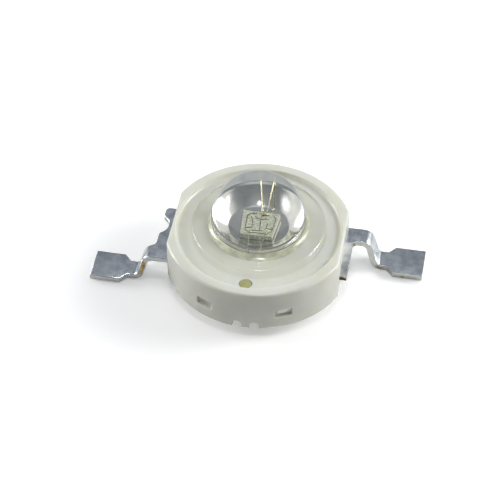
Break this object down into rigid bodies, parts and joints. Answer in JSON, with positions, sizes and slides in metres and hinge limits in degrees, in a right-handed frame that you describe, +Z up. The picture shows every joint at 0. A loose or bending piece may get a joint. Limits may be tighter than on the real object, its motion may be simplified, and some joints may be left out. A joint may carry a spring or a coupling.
{
  "type": "high power led",
  "caption": "Emitter-type high-power light-emitting diode: round pale housing, clear dome lens over a reflector cup, heat slug underneath, gull-wing leads at the sides.",
  "frame": {"origin": "middle of the heat slug's underside, on the board", "axes": "+Z up through the dome, X along the leads with the anode at -X and the cathode at +X"},
  "size_m": [0.0142, 0.008, 0.0051],
  "materials": {
    "housing_plastic": "moulded translucent polyphthalamide, satin",
    "lens_clear": "clear moulded optical polycarbonate, polished",
    "silicone_clear": "clear optical silicone with a yellowish cast",
    "slug_silver": "silver-plated copper, bright",
    "lead_tin": "tin-plated copper strip, bright, with bare copper at the sheared ends",
    "attach_grey": "silver-filled die-attach layer",
    "die_green_grey": "bare semiconductor die, satin",
    "electrode_gold": "thin evaporated gold pattern",
    "wire_gold": "drawn gold bond wire, bright"
  },
  "bodies": {
    "root": {"housing": "housing_plastic", "lens": "lens_clear", "encapsulant": "silicone_clear", "heat_slug": "slug_silver", "anode_lead": "lead_tin", "cathode_lead": "lead_tin", "tie_bar_front_left": "lead_tin", "tie_bar_front_right": "lead_tin", "tie_bar_back_left": "lead_tin", "tie_bar_back_right": "lead_tin", "die_attach": "attach_grey", "led_die": "die_green_grey", "anode_electrode": "electrode_gold", "cathode_electrode": "electrode_gold", "bond_wire_back_left": "wire_gold", "bond_wire_back_right": "wire_gold", "bond_wire_front_left": "wire_gold", "bond_wire_front_right": "wire_gold"}
  },
  "joints": []
}
